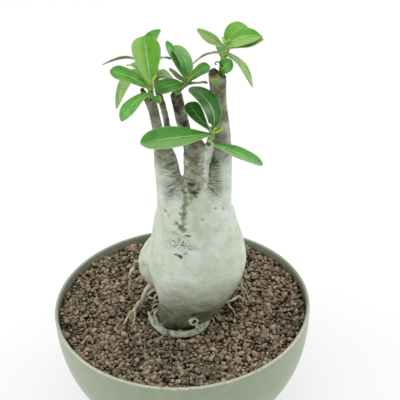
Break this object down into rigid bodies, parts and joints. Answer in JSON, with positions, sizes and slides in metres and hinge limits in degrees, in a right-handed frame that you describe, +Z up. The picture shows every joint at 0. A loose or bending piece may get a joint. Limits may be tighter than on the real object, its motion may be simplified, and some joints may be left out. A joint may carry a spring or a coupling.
{
  "type": "potted desert rose",
  "caption": "Desert rose with a swollen grey trunk, cut stems and leafy shoots, rooted in lava grit in a round plastic bowl.",
  "frame": {"origin": "middle of the bowl's foot, on the surface it stands on", "axes": "+Z up along the plant, -Y towards the front with the cut stub and the looped root, +X to the right"},
  "size_m": [0.16, 0.16, 0.2566],
  "materials": {
    "bowl_plastic": "smooth pale grey-green, slightly glossy",
    "lava_grit": "rough, porous, mixed brown, plum and grey grains",
    "bark": "smooth silvery grey-green with fine wrinkles, scars and brown patches",
    "leaf": "leathery, softly glossy, with pale midribs and rims",
    "sealant": "black, satin paste"
  },
  "bodies": {
    "root": {"bowl": "bowl_plastic", "substrate": "lava_grit", "trunk": "bark", "shoot_left": "leaf", "shoot_rear": "leaf", "shoot_middle": "leaf", "shoot_front": "leaf", "shoot_right": "leaf", "paste_left": "sealant", "paste_right": "sealant"}
  },
  "joints": []
}
